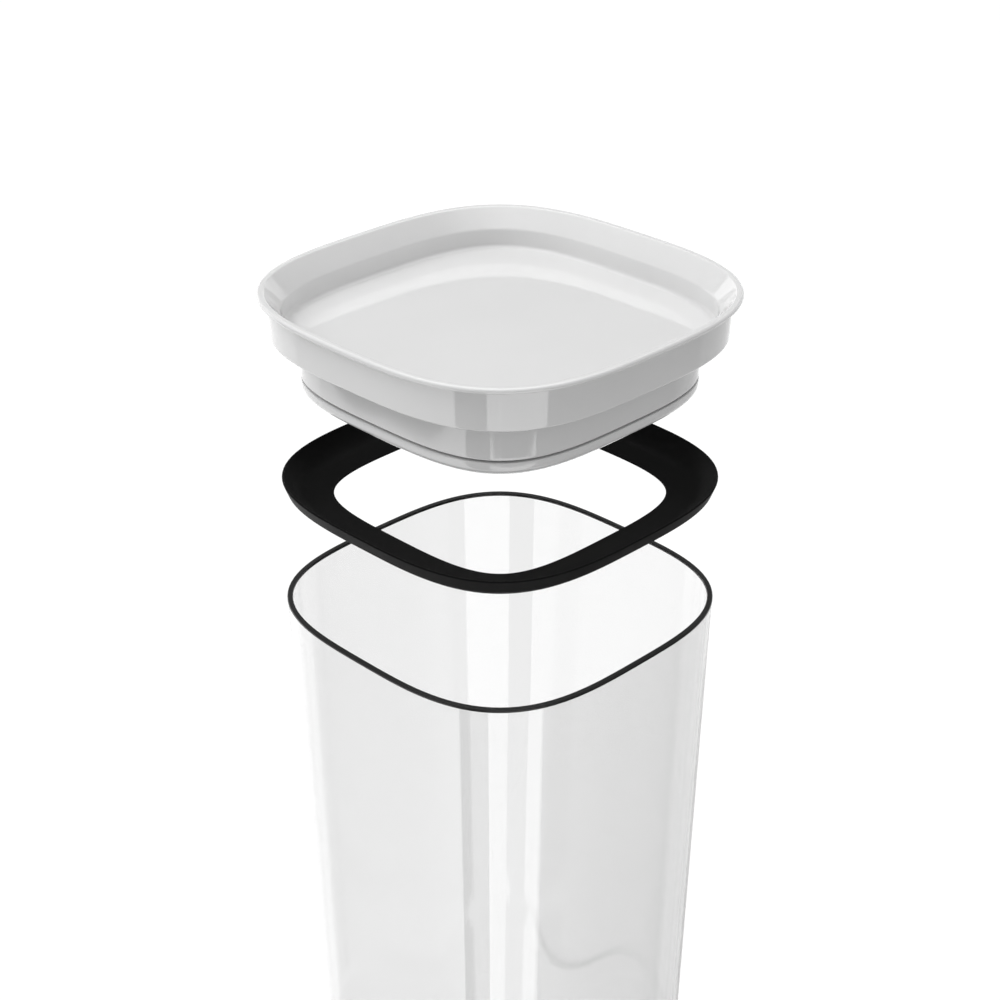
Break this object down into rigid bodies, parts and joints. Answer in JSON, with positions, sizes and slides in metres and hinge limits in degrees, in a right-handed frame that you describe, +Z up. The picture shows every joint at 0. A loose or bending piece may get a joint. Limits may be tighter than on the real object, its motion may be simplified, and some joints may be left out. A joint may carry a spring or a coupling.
{
  "type": "lidded glass canister",
  "caption": "Tall rounded-square clear glass storage jar with a thin black rim band, a pale plastic push-in lid and its black wiper gasket, shown lifted apart.",
  "frame": {"origin": "middle of the jar's underside", "axes": "+Z up along the middle of the jar, through the gasket and the lid; +X and +Y square to the jar's flat sides"},
  "size_m": [0.1068, 0.1068, 0.3075],
  "materials": {
    "clear_glass": "clear and polished",
    "black_band": "satin black",
    "black_silicone": "matte black silicone",
    "lid_plastic": "glossy pale grey, slightly milky"
  },
  "bodies": {
    "jar": {"glass_jar": "clear_glass", "rim_band": "black_band"},
    "gasket": {"gasket": "black_silicone"},
    "lid": {"lid_tray": "lid_plastic", "plug_cap": "lid_plastic"}
  },
  "joints": [
    {"name": "gasket_slide", "type": "slide", "parent": "jar", "child": "gasket", "axis": [0, 0, 1], "range_m": [-0.04125, 0], "deforming": ["gasket"]},
    {"name": "lid_slide", "type": "slide", "parent": "gasket", "child": "lid", "axis": [0, 0, 1], "range_m": [-0.03395, 0], "deforming": ["gasket"]}
  ]
}
